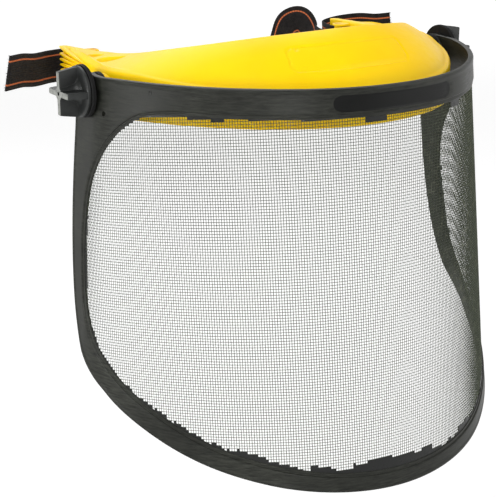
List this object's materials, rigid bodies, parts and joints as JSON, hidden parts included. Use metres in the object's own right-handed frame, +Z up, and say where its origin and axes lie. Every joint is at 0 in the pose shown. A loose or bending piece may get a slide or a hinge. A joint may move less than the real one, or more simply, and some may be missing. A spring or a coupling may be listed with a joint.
{
  "type": "mesh face shield",
  "caption": "Mesh face shield with a moulded brow guard, an elastic head strap and a framed wire-screen visor that flips up on two star knobs.",
  "frame": {"origin": "middle of the visor's flip axis, halfway between the two knobs", "axes": "+X to the wearer's left along the flip axis, -Y the way the wearer looks, +Z up"},
  "size_m": [0.283, 0.2962, 0.2445],
  "materials": {
    "guard_yellow": "satin moulded",
    "foam": "soft foam",
    "elastic": "woven elastic",
    "frame_black": "fine moulded grain",
    "screen_wire": "black coated wire",
    "stud_plastic": "moulded",
    "steel": "zinc plated",
    "washer_plastic": "moulded",
    "rubber": "matte",
    "knob_black": "satin moulded"
  },
  "bodies": {
    "head_unit": {"brow_guard": "guard_yellow", "brow_skirt": "guard_yellow", "headband_wall": "guard_yellow", "forehead_pad": "foam", "head_strap": "elastic", "pad_stud_left_outer": "stud_plastic", "pad_stud_left_inner": "stud_plastic", "pad_stud_right_inner": "stud_plastic", "pad_stud_right_outer": "stud_plastic", "pivot_bolt_right": "steel", "spacer_washer_right": "washer_plastic", "pivot_bolt_left": "steel", "spacer_washer_left": "washer_plastic"},
    "visor": {"visor_frame": "frame_black", "visor_screen": "screen_wire", "friction_washer_right": "rubber", "friction_washer_left": "rubber"},
    "knob_unit_right": {"knob_right": "knob_black", "knob_nut_right": "steel", "knob_washer_right": "steel"},
    "knob_unit_left": {"knob_left": "knob_black", "knob_nut_left": "steel", "knob_washer_left": "steel"}
  },
  "joints": [
    {"name": "visor_flip", "type": "hinge", "parent": "head_unit", "child": "visor", "pos_m": [0, 0, 0], "axis": [-1, 0, 0], "range_deg": [0, 95]},
    {"name": "knob_right_turn", "type": "hinge", "parent": "head_unit", "child": "knob_unit_right", "pos_m": [-0.135, 0, 0], "axis": [-1, 0, 0], "continuous": true},
    {"name": "knob_left_turn", "type": "hinge", "parent": "head_unit", "child": "knob_unit_left", "pos_m": [0.135, 0, 0], "axis": [1, 0, 0], "continuous": true}
  ]
}
